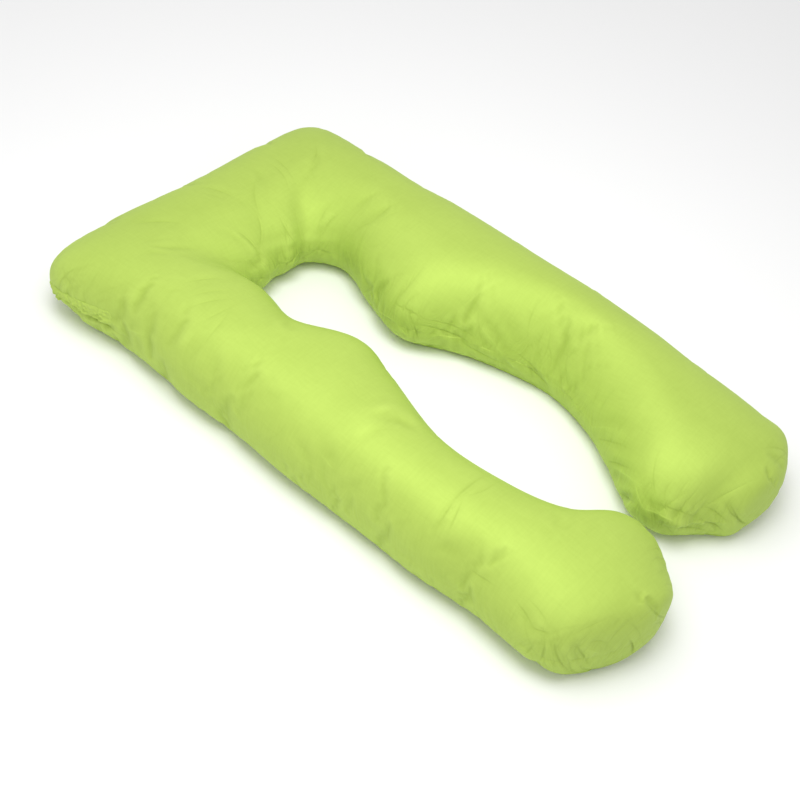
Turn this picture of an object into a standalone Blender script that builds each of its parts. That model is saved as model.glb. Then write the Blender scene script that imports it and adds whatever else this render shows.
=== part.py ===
"""U-shaped pregnancy pillow: one stuffed cloth body and the placket over its closure.

Metres, +Z up. The origin is on the surface that the pillow lies on, under the
middle of its box. +Y points to the closed head end, the two arms run to -Y,
and the far arm is on +X. The body is a tube whose sections go from the tip of
one foot, round the head space, to the tip of the other foot. Each section has
a side seam at its outer and its inner edge, a crown above them and a flat
underside. The tables are in millimetres.
"""
import math
from typing import NamedTuple

import bmesh
import bpy
import numpy as np

# Driving dimensions
LENGTH = 1.35                # from the head edge to the tips of the feet
WIDTH = 0.76                 # over both arms
CROWN = 0.19                 # height of the fullest sections

MM = 0.001
STATIONS = 132               # sections along the tube, closer together at the feet
RING_POINTS = 36             # points round a section, one of them on each side seam
SPLINE_STEPS = 40            # steps between two rows of the section table
FOOT_DETAIL = 0.7            # how much closer the sections stand at the feet
FOOT_REACH = 0.25            # how far from the tips that goes on

SECTION_ROUND = 0.88         # 1 is an ellipse, less is fuller
LOWER_ROUND = 1.0            # the same below the seam
UNDERSIDE_FLAT = 1.3         # over 1, the lower curve is cut off flat by the floor
SEAM_PULL = 0.006            # how far the side seam draws the cloth in
SEAM_SPREAD = 0.12           # share of the section's height that the pull reaches
SEAM_PULL_MOST = 0.1         # share of a narrow section that the seam may draw in
FLOOR_HOLD = 0.03            # folds fade out below this height, where the cloth lies flat

PLACKET_START = 0.64         # y of its end at the head corner
PLACKET_END = 0.468          # y of its other end
PLACKET_HEIGHT = 0.026
PLACKET_THICK = 0.0028
PLACKET_GAP = 0.0012         # air between the placket and the faceted side
PLACKET_CRUMPLE = 0.0022     # how far its folds stand out
PLACKET_SLANT = 0.018        # the lower end rises by this much over its length
PLACKET_WAVES = 31           # radians of its larger crumples from end to end
PLACKET_RIPPLES = 53         # radians of the smaller ones
PLACKET_LEAN = 6             # radians that both lean over its height
PLACKET_STEPS = 36
PLACKET_BANDS = 8
ROWS_BESIDE_SEAM = (-2, -1, 0, 1, 2)   # points of a ring next to its outer seam, upwards
SIDE_FROM = 0.25             # past this x a point of the near arm is on its outer side

COVER_GREEN = "C0D969"
PLACKET_GREEN = "B4CD5F"
COTTON_ROUGHNESS = 0.85


class Section(NamedTuple):
    """A section of the tube: its outer and inner seam in plan, and its heights."""
    name: str
    outer_x: int
    outer_y: int
    inner_x: int
    inner_y: int
    crown: int
    seam: int
    under: int


class Fold(NamedTuple):
    """A soft trough, or a ridge where the depth is negative, along a short line."""
    name: str
    x: int
    y: int
    z: int
    heading: int
    slope: int
    length: int
    width: int
    depth: int


# The near arm, on -X, from the tip of its foot to the head. x counts outwards.
NEAR_ARM = (
    Section("tip", 250, -678, 250, -678, 76, 76, 76),
    Section("toe", 306, -664, 140, -669, 140, 76, 18),
    Section("ball", 348, -612, 62, -638, 165, 76, 0),
    Section("arch", 362, -560, 18, -574, 180, 76, 0),
    Section("instep", 362, -485, 26, -512, 186, 76, 0),
    Section("ankle", 356, -405, 106, -453, 190, 78, 0),
    Section("calf", 368, -295, 148, -345, 190, 80, 0),
    Section("belly", 368, -150, 157, -205, 190, 80, 0),
    Section("waist", 375, 5, 95, -25, 190, 80, 0),
    Section("neck", 374, 140, 64, 80, 190, 80, 0),
    Section("cheek", 373, 280, 122, 190, 188, 80, 0),
    Section("temple", 373, 448, 115, 302, 185, 80, 0),
    Section("corner", 375, 652, 75, 357, 175, 80, 0),
    Section("brow", 205, 680, 40, 377, 168, 80, 0),
)
HEAD_MIDDLE = Section("middle", 0, 674, 0, 388, 166, 80, 0)

# The far arm, on +X, which is a little fuller at its neck and its foot.
FAR_ARM = (
    Section("tip", 232, -680, 232, -680, 76, 76, 76),
    Section("toe", 300, -670, 118, -670, 140, 76, 18),
    Section("ball", 354, -625, 80, -622, 165, 76, 0),
    Section("arch", 365, -562, 26, -567, 180, 76, 0),
    Section("instep", 370, -485, 20, -498, 186, 76, 0),
    Section("ankle", 368, -405, 77, -422, 190, 78, 0),
    Section("calf", 376, -300, 134, -320, 190, 80, 0),
    Section("belly", 383, -150, 158, -188, 190, 80, 0),
    Section("waist", 388, 12, 106, -15, 190, 80, 0),
    Section("neck", 390, 150, 50, 103, 190, 80, 0),
    Section("cheek", 378, 280, 90, 225, 188, 80, 0),
    Section("temple", 371, 435, 110, 316, 185, 80, 0),
    Section("corner", 368, 645, 65, 368, 175, 80, 0),
    Section("brow", 205, 673, 32, 379, 168, 80, 0),
)

# Where the cloth is gathered, pressed or wrinkled enough to show from a step away.
NEAR_ARM_FOLDS = (
    Fold("elbow bump", -247, -95, 190, -20, 0, 45, 32, -6),
    Fold("elbow dip", -228, -130, 187, -55, 0, 42, 20, 7),
    Fold("cross crease", -270, -321, 180, 180, 0, 62, 14, 6),
    Fold("side dimple", -355, -88, 142, -90, -30, 30, 24, 5),
    Fold("lower arm dent", -362, -240, 60, -90, 70, 45, 26, 5),
    Fold("upper arm dent", -369, 151, 50, -90, 80, 45, 24, 6),
    Fold("shoulder dent", -362, 315, 45, -90, 80, 45, 26, 6),
    Fold("shoulder crease", -362, 358, 115, -120, -66, 36, 15, 5),
    Fold("shoulder ridge", -342, 279, 156, 0, 44, 26, 16, -4),
    Fold("upper arm crease", -336, 212, 160, -104, -12, 30, 15, 4),
)
HEAD_FOLDS = (
    Fold("closure recess", -380, 556, 80, -90, 4, 95, 26, 11),
    Fold("near corner crease", -178, 557, 168, -51, 3, 42, 18, 4),
    Fold("near brow crease", -13, 544, 163, -76, 2, 50, 18, 4),
    Fold("middle crease", 32, 481, 158, -132, -9, 52, 16, 6),
    Fold("far brow crease", 77, 527, 166, -113, 0, 36, 15, 4),
    Fold("far corner crease", 220, 498, 175, -130, 0, 38, 16, 5),
    Fold("far cheek crease", 160, 285, 170, -29, 26, 40, 14, 5),
    Fold("near rim gather", -59, 412, 136, -77, -34, 34, 14, 5),
    Fold("near cheek crease", -209, 339, 175, -21, -12, 55, 20, 4),
    Fold("wall gather one", 5, 383, 60, 90, 80, 40, 13, 4),
    Fold("wall gather two", 45, 374, 56, 90, 80, 40, 13, 4),
    Fold("wall gather three", 84, 350, 60, 60, 80, 40, 14, 4),
)
FAR_ARM_FOLDS = (
    Fold("back dent", 345, 307, 150, -90, 0, 62, 32, 7),
    Fold("neck crumple", 66, 96, 68, -79, -10, 42, 14, 6),
    Fold("long side fold", 104, -12, 78, -65, 0, 92, 15, 6),
    Fold("side bundle", 148, -112, 52, -71, -33, 34, 14, 5),
    Fold("belly side fold", 168, -185, 45, -70, -47, 36, 15, 5),
    Fold("belly bump", 244, -218, 189, -60, 0, 46, 40, -6),
    Fold("belly valley", 168, -202, 118, -117, -67, 40, 20, 7),
    Fold("calf dip", 112, -376, 102, -110, 49, 56, 22, 6),
    Fold("ankle crumple", 62, -442, 66, -133, 37, 56, 15, 6),
)
FOOT_FOLDS = (
    Fold("near heel crease", -345, -536, 130, -111, -28, 26, 13, 4),
    Fold("near heel pleat", -354, -574, 62, 0, 88, 30, 12, 6),
    Fold("near ball pleat", -338, -601, 88, -67, -64, 36, 13, 6),
    Fold("near toe pleat", -314, -631, 78, -45, -61, 36, 13, 6),
    Fold("near front pleat", -225, -668, 60, 0, 88, 32, 14, 5),
    Fold("near inner pleat", -163, -668, 105, -12, -54, 48, 14, 5),
    Fold("near notch", -62, -612, 84, 50, 0, 52, 14, 9),
    Fold("far instep pocket", 32, -476, 60, -130, 50, 34, 14, 6),
    Fold("far seam ridge", 49, -578, 76, -50, -6, 44, 12, -5),
    Fold("far inner pleat", 73, -610, 60, -49, -36, 32, 13, 6),
    Fold("far ball notch", 93, -639, 50, -40, -60, 30, 13, 6),
    Fold("far toe pleat", 120, -660, 88, -22, -52, 28, 12, 5),
    Fold("far front pleat", 150, -666, 55, -2, -56, 32, 12, 5),
    Fold("far heel crease", 242, -650, 130, -60, -40, 36, 16, 4),
)
FOLDS = NEAR_ARM_FOLDS + HEAD_FOLDS + FAR_ARM_FOLDS + FOOT_FOLDS


def clear_scene():
    """Remove every object, so that the file holds the pillow alone."""
    for item in list(bpy.data.objects):
        bpy.data.objects.remove(item, do_unlink=True)


def cloth(name, hex_colour):
    """A matt woven cotton of the given sRGB colour."""
    channels = [int(hex_colour[k:k + 2], 16) / 255 for k in (0, 2, 4)]
    linear = [c / 12.92 if c <= 0.04045 else ((c + 0.055) / 1.055) ** 2.4 for c in channels]
    material = bpy.data.materials.new(name)
    material.use_nodes = True
    shader = material.node_tree.nodes["Principled BSDF"]
    shader.inputs["Base Color"].default_value = (*linear, 1.0)
    shader.inputs["Roughness"].default_value = COTTON_ROUGHNESS
    shader.inputs["Metallic"].default_value = 0.0
    return material


def table(rows, mirror=False):
    """The rows' numbers in metres, on -X where mirror is set."""
    values = np.array([row[1:] for row in rows], dtype=float) * MM
    if mirror:
        values[:, [0, 2]] *= -1
    return values


def smooth_rows(rows):
    """A Catmull-Rom curve through the rows, with SPLINE_STEPS points to a row."""
    ends = np.vstack([2 * rows[0] - rows[1], rows, 2 * rows[-1] - rows[-2]])
    place = np.linspace(0, len(rows) - 1, SPLINE_STEPS * (len(rows) - 1) + 1)
    start = np.minimum(place.astype(int), len(rows) - 2)
    t = (place - start)[:, None]
    before, here, there, after = (ends[start + k] for k in range(4))
    return 0.5 * (2 * here + (there - before) * t
                  + (2 * before - 5 * here + 4 * there - after) * t ** 2
                  + (3 * here - before - 3 * there + after) * t ** 3)


def spread(rows, count):
    """Sections evenly apart along the tube, and closer together at the feet."""
    middle = (rows[:, 0:2] + rows[:, 2:4]) / 2
    width = np.linalg.norm(rows[:, 0:2] - rows[:, 2:4], axis=1)
    path = np.column_stack([middle, rows[:, 4], width])
    step = np.linalg.norm(np.diff(path, axis=0), axis=1)
    along = np.concatenate([[0], np.cumsum(step)])
    from_tip = np.minimum(along, along[-1] - along)[1:]
    denser = 1 + FOOT_DETAIL * np.exp(-(from_tip / FOOT_REACH) ** 2)
    place = np.concatenate([[0], np.cumsum(step * denser)])
    wanted = np.linspace(0, place[-1], count)
    return np.stack([np.interp(wanted, place, column) for column in rows.T], axis=1)


def rings(sections, points):
    """The tube's grid of points: a flattened oval for each section, drawn in at its seams."""
    turn = np.linspace(0, 2 * math.pi, points, endpoint=False)
    across = np.sign(np.cos(turn)) * np.abs(np.cos(turn)) ** SECTION_ROUND
    rise = np.maximum(np.sin(turn), 0) ** SECTION_ROUND
    fall = np.minimum(1, UNDERSIDE_FLAT * np.maximum(-np.sin(turn), 0) ** LOWER_ROUND)
    at_seam = np.exp(-(np.sin(turn) / SEAM_SPREAD) ** 2)
    outer, inner = sections[:, 0:2], sections[:, 2:4]
    crown, seam, under = sections[:, 4:5], sections[:, 5:6], sections[:, 6:7]
    half = (outer - inner) / 2
    reach = np.linalg.norm(half, axis=1)[:, None]
    pull = 1 - np.minimum(SEAM_PULL / np.maximum(reach, SEAM_PULL), SEAM_PULL_MOST) * at_seam
    plan = ((outer + inner) / 2)[:, None] + half[:, None] * (across * pull)[..., None]
    height = seam + (crown - seam) * rise - (seam - under) * fall
    return np.concatenate([plan, height[..., None]], axis=2)


def outward(grid):
    """Unit normals of the grid, pointing out of the tube."""
    round_ring = np.roll(grid, -1, axis=1) - np.roll(grid, 1, axis=1)
    normal = np.cross(round_ring, np.gradient(grid, axis=0))
    normal /= np.linalg.norm(normal, axis=2, keepdims=True) + 1e-12
    from_middle = grid - grid.mean(axis=1, keepdims=True)
    return normal * np.sign((normal * from_middle).sum())


def press(grid, folds):
    """Push the cloth in along each fold: deepest on its line, gone past its length and width."""
    normal = outward(grid)
    moved = np.zeros(grid.shape[:2])
    for fold in folds:
        heading, slope = math.radians(fold.heading), math.radians(fold.slope)
        line = np.array([math.cos(heading) * math.cos(slope),
                         math.sin(heading) * math.cos(slope), math.sin(slope)])
        offset = grid - np.array([fold.x, fold.y, fold.z]) * MM
        along = offset @ line
        beside = np.linalg.norm(offset - along[..., None] * line, axis=2)
        weight = np.exp(-(along / (fold.length * MM)) ** 2 - (beside / (fold.width * MM)) ** 2)
        moved -= fold.depth * MM * weight
    free = np.clip(grid[..., 2] / FLOOR_HOLD, 0, 1)
    pressed = grid + normal * (moved * free)[..., None]
    pressed[..., 2] = np.maximum(pressed[..., 2], 0)
    return pressed


def to_size(grid):
    """Centre the plan on the origin and bring it to LENGTH by WIDTH, and the top to CROWN."""
    low, high = grid.min(axis=(0, 1)), grid.max(axis=(0, 1))
    middle = np.array([(low[0] + high[0]) / 2, (low[1] + high[1]) / 2, 0])
    return (grid - middle) * np.array([WIDTH, LENGTH, CROWN]) / (high - low)


def body_grid():
    """The pillow's surface, from the near foot round the head to the far foot."""
    rows = np.vstack([table(NEAR_ARM, mirror=True), table([HEAD_MIDDLE]), table(FAR_ARM[::-1])])
    plain = to_size(rings(spread(smooth_rows(rows), STATIONS), RING_POINTS))
    return to_size(press(plain, FOLDS))


def ring_faces(count, points):
    """Four-sided faces between each ring of points and the next, for count rings in a row."""
    return [(ring * points + k, ring * points + (k + 1) % points,
             (ring + 1) * points + (k + 1) % points, (ring + 1) * points + k)
            for ring in range(count - 1) for k in range(points)]


def stuffed_body(grid, material):
    """The closed body: the grid's rings joined, and its first and last ring drawn to a point."""
    tips = [grid[0].mean(axis=0), grid[-1].mean(axis=0)]
    count, points = grid.shape[0] - 2, grid.shape[1]
    verts = np.vstack([grid[1:-1].reshape(-1, 3), tips])
    near_tip, far_tip = len(verts) - 2, len(verts) - 1
    last_ring = (count - 1) * points
    faces = ring_faces(count, points)
    faces += [(near_tip, (k + 1) % points, k) for k in range(points)]
    faces += [(far_tip, last_ring + k, last_ring + (k + 1) % points) for k in range(points)]
    return solid("pillow", verts, faces, material)


def solid(name, verts, faces, material):
    """A smooth-shaded object whose triangles face outwards."""
    mesh = bpy.data.meshes.new(name)
    mesh.from_pydata([tuple(vert) for vert in verts], [], faces)
    shape = bmesh.new()
    shape.from_mesh(mesh)
    bmesh.ops.triangulate(shape, faces=shape.faces[:])
    bmesh.ops.recalc_face_normals(shape, faces=shape.faces[:])
    shape.to_mesh(mesh)
    shape.free()
    mesh.shade_smooth()
    mesh.materials.append(material)
    item = bpy.data.objects.new(name, mesh)
    bpy.context.collection.objects.link(item)
    return item


def near_side(grid, row, y):
    """x and z at each y on one lengthwise line of the near arm's outer side, by the head."""
    line = grid[:grid.shape[0] // 2, row]
    side = line[(line[:, 0] < -SIDE_FROM) & (line[:, 1] > 0)]
    return np.interp(y, side[:, 1], side[:, 0]), np.interp(y, side[:, 1], side[:, 2])


def closure_placket(grid, material):
    """The folded band over the closed side seam: it bridges the groove, and its face is crumpled."""
    y = np.linspace(PLACKET_START, PLACKET_END, PLACKET_STEPS)
    along = np.linspace(0, 1, PLACKET_STEPS)[:, None]
    up = np.linspace(-0.5, 0.5, PLACKET_BANDS)[None]
    seam_z = near_side(grid, 0, y)[1][:, None]
    z = seam_z + PLACKET_SLANT * (along - 0.5) + PLACKET_HEIGHT * up
    lines = [near_side(grid, row, y) for row in ROWS_BESIDE_SEAM]
    line_x = np.array([x for x, _ in lines])
    line_z = np.array([height for _, height in lines])
    side_x = np.array([np.interp(z[k], line_z[:, k], line_x[:, k]) for k in range(PLACKET_STEPS)])
    back_x = side_x - PLACKET_GAP
    crumple = np.sin(PLACKET_WAVES * along + PLACKET_LEAN * up)
    crumple = crumple + np.sin(PLACKET_RIPPLES * along - PLACKET_LEAN * up)
    face_x = back_x - PLACKET_THICK - PLACKET_CRUMPLE * (2 + crumple) / 4 * (1 - (2 * up) ** 4)
    across = np.broadcast_to(y[:, None], z.shape)
    back = np.stack([back_x, across, z], axis=2)
    face = np.stack([face_x, across, z], axis=2)
    loop = np.concatenate([back, face[:, ::-1]], axis=1)
    points = loop.shape[1]
    verts = loop.reshape(-1, 3)
    faces = ring_faces(PLACKET_STEPS, points)
    faces += [tuple(range(points)), tuple(range(len(verts) - points, len(verts)))]
    return solid("closure_placket", verts, faces, material)


def main():
    """Build the stuffed body and the placket."""
    clear_scene()
    grid = body_grid()
    stuffed_body(grid, cloth("lime_cotton", COVER_GREEN))
    closure_placket(grid, cloth("lime_placket", PLACKET_GREEN))


main()
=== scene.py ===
"""The looks of the U-shaped pregnancy pillow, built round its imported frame.

One plain cotton cover, stuffed firm, lies on a pale floor. The cover is a tube
of cloth whose sections go from the tip of the near foot, round the head space,
to the tip of the far foot. Blender's cloth solver wrinkles it. Then the creases
are pressed in, the side seam is gathered and sewn, and the weave is added. A
folded placket lies over the closure at the near head corner. Metres, +Z up, +Y
to the head. The tables are in millimetres and degrees.
"""
import logging
import math
from dataclasses import dataclass, field
from enum import Enum
from typing import Any, Dict, List, NamedTuple, Optional, Sequence, Tuple

import bpy
import numpy as np
from mathutils import Matrix, Vector


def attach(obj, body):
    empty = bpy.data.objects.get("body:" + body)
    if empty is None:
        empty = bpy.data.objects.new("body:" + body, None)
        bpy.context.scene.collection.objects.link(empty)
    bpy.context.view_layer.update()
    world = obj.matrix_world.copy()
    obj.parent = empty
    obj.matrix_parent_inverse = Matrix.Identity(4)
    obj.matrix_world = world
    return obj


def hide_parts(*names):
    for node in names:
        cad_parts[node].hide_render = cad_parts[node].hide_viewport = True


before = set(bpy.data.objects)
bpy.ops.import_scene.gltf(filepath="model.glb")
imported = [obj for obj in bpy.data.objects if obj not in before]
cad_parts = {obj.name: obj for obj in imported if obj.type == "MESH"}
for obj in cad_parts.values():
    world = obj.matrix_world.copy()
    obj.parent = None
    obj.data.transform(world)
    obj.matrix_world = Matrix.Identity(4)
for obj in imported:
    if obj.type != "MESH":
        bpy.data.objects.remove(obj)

MM = 0.001
BODY = "root"
LIP_WIDTH = 1.2
LOG = logging.getLogger("pillow")


class Side(Enum):
    """The arms in the order of the tube, each with its sign of x."""

    NEAR = -1
    FAR = 1


class Seam(Enum):
    """The two edges of the tube where the panels are sewn together."""

    OUTER = "outer"
    INNER = "inner"


class Section(NamedTuple):
    """A section of the tube: its two seams in plan, its heights, and each side's curve.

    The curve is the power of the top panel's oval in thousandths, beside each
    seam: 1000 is an even oval, a lower number is boxier and a higher one flatter.
    """

    name: str
    outer_x: int
    outer_y: int
    inner_x: int
    inner_y: int
    crown: int
    outer_seam: int
    inner_seam: int
    under: int
    outer_curve: int
    inner_curve: int


class Fold(NamedTuple):
    """A trough, or a ridge where the depth is negative, along a short line.

    The line's middle is at x, y and z. Heading is its compass angle from +X and
    slope its rise. Bow is how far its middle stands off to its left.
    """

    name: str
    x: int
    y: int
    z: int
    heading: int
    slope: int
    length: int
    width: float
    depth: float
    bow: int = 0


class Gather(NamedTuple):
    """Cloth taken up by a seam near a place: ripples and creases that run out from it.

    Height is the ripples' size, spread how far along the seam they reach, and
    stitch how deep the sewn line lies there, negative where the seam's folded
    edges push the cloth out.
    """

    name: str
    seam: Seam
    x: int
    y: int
    spread: int
    height: float
    stitch: float


# The near arm, on -X, from the tip of its foot to the head. x counts outwards.
NEAR_ARM = (
    Section("tip", 200, -680, 200, -680, 76, 76, 76, 76, 820, 820),
    Section("toe", 247, -664, 136, -676, 140, 74, 74, 18, 820, 880),
    Section("ball", 342, -609, 91, -651, 165, 72, 70, 0, 820, 950),
    Section("arch", 368, -560, 34, -578, 180, 74, 68, 0, 800, 1000),
    Section("instep", 369, -485, 36, -512, 186, 76, 66, 0, 780, 1000),
    Section("ankle", 365, -406, 110, -450, 190, 78, 66, 0, 760, 950),
    Section("calf", 377, -296, 145, -343, 190, 78, 64, 0, 760, 920),
    Section("belly", 377, -151, 156, -204, 190, 78, 64, 0, 760, 900),
    Section("waist", 386, 5, 101, -25, 190, 78, 64, 0, 760, 900),
    Section("neck", 382, 140, 69, 80, 190, 78, 64, 0, 760, 900),
    Section("cheek", 387, 280, 127, 193, 188, 78, 66, 0, 770, 880),
    Section("temple", 379, 446, 111, 306, 185, 74, 68, 0, 800, 870),
    Section("corner", 389, 664, 101, 392, 175, 70, 68, 0, 820, 1000),
    Section("brow", 214, 705, 39, 388, 168, 66, 68, 0, 820, 1150),
)
HEAD_MIDDLE = Section("middle", 0, 694, 0, 396, 166, 66, 68, 0, 820, 1200)
FAR_ARM = (
    Section("tip", 232, -675, 232, -675, 76, 76, 76, 76, 820, 820),
    Section("toe", 274, -668, 136, -656, 140, 74, 74, 18, 820, 900),
    Section("ball", 352, -623, 80, -606, 165, 70, 70, 0, 820, 1000),
    Section("arch", 363, -562, 27, -562, 180, 70, 70, 0, 820, 1100),
    Section("instep", 371, -485, 21, -494, 186, 70, 70, 0, 820, 1080),
    Section("ankle", 372, -405, 69, -417, 190, 68, 70, 0, 820, 1150),
    Section("calf", 384, -300, 131, -314, 190, 66, 68, 0, 820, 1250),
    Section("belly", 390, -150, 162, -184, 190, 66, 68, 0, 820, 1380),
    Section("waist", 394, 12, 115, -10, 190, 66, 68, 0, 820, 1300),
    Section("neck", 400, 150, 48, 106, 190, 66, 70, 0, 820, 1150),
    Section("cheek", 391, 281, 81, 226, 188, 66, 70, 0, 820, 1080),
    Section("temple", 379, 437, 119, 330, 185, 66, 70, 0, 820, 1040),
    Section("corner", 371, 651, 74, 391, 175, 66, 68, 0, 820, 1200),
    Section("brow", 211, 692, 30, 388, 168, 66, 68, 0, 820, 1200),
)

# Lumps and broad folds, at the places that they have in the construction.
FOLDS = (
    Fold("elbow bump", -247, -95, 190, -20, 0, 45, 32, -5),
    Fold("elbow dip", -228, -130, 187, -55, 0, 42, 20, 4.5),
    Fold("cross crease", -270, -321, 180, 180, 0, 62, 16, 1.2),
    Fold("side dimple", -355, -88, 142, -90, -30, 30, 24, 2.5),
    Fold("lower arm dent", -362, -240, 60, -90, 70, 45, 26, 4),
    Fold("upper arm dent", -369, 151, 50, -90, 80, 45, 24, 5),
    Fold("shoulder dent", -362, 315, 45, -90, 80, 45, 26, 5),
    Fold("shoulder crease", -362, 358, 115, -120, -66, 36, 15, 3.5),
    Fold("shoulder ridge", -342, 279, 156, 0, 44, 26, 16, -3),
    Fold("upper arm crease", -336, 212, 160, -104, -12, 30, 15, 2.5),
    Fold("closure recess", -380, 556, 62, -90, 8, 95, 20, 8),
    Fold("near corner crease", -178, 557, 168, -51, 3, 42, 18, 2),
    Fold("near brow crease", -13, 544, 163, -76, 2, 50, 18, 2),
    Fold("brow valley", 20, 468, 148, -130, -13, 72, 26, 3.5),
    Fold("far brow crease", 77, 527, 166, -113, 0, 36, 15, 2),
    Fold("far corner crease", 220, 498, 175, -130, 0, 38, 16, 2.5),
    Fold("far cheek crease", 160, 285, 170, -29, 26, 40, 14, 1.5),
    Fold("near rim gather", -59, 412, 136, -77, -34, 34, 14, 2),
    Fold("near cheek crease", -209, 339, 175, -21, -12, 55, 20, 2),
    Fold("wall gather one", 5, 383, 60, 90, 80, 40, 13, 3),
    Fold("wall gather two", 45, 374, 56, 90, 80, 40, 13, 3),
    Fold("wall gather three", 84, 350, 60, 60, 80, 40, 14, 3),
    Fold("back dent", 345, 307, 150, -90, 0, 62, 32, 5),
    Fold("neck crumple", 66, 96, 68, -79, -10, 42, 14, 4),
    Fold("long side fold", 104, -12, 78, -65, 0, 92, 15, 4),
    Fold("side bundle", 148, -112, 52, -71, -33, 34, 14, 3.5),
    Fold("belly side fold", 168, -185, 45, -70, -47, 36, 15, 3.5),
    Fold("belly bump", 244, -218, 189, -60, 0, 46, 40, -3),
    Fold("belly valley", 168, -202, 118, -117, -67, 40, 24, 1.5),
    Fold("calf dip", 112, -376, 102, -110, 49, 56, 22, 2.5),
    Fold("ankle crumple", 62, -442, 66, -133, 37, 56, 15, 4.5),
    Fold("near heel crease", -345, -536, 130, -111, -28, 26, 13, 2),
    Fold("near heel pleat", -354, -574, 62, 0, 88, 30, 12, 3),
    Fold("near ball pleat", -338, -601, 88, -67, -64, 36, 13, 3),
    Fold("near toe pleat", -314, -631, 78, -45, -61, 36, 13, 3),
    Fold("near front pleat", -225, -668, 60, 0, 88, 32, 14, 3),
    Fold("near inner pleat", -163, -668, 105, -12, -54, 48, 14, 2),
    Fold("near notch", -62, -612, 84, 50, 0, 52, 14, 6),
    Fold("far instep pocket", 32, -476, 60, -130, 50, 34, 14, 6),
    Fold("far seam ridge", 49, -578, 76, -50, -6, 44, 12, -5),
    Fold("far inner pleat", 73, -610, 60, -49, -36, 32, 13, 5),
    Fold("far ball notch", 93, -639, 50, -40, -60, 30, 13, 6),
    Fold("far toe pleat", 120, -660, 88, -22, -52, 28, 12, 3.5),
    Fold("far front pleat", 150, -666, 55, -2, -56, 32, 12, 3.5),
    Fold("far heel crease", 242, -650, 130, -60, -40, 36, 16, 2),
)

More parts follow.
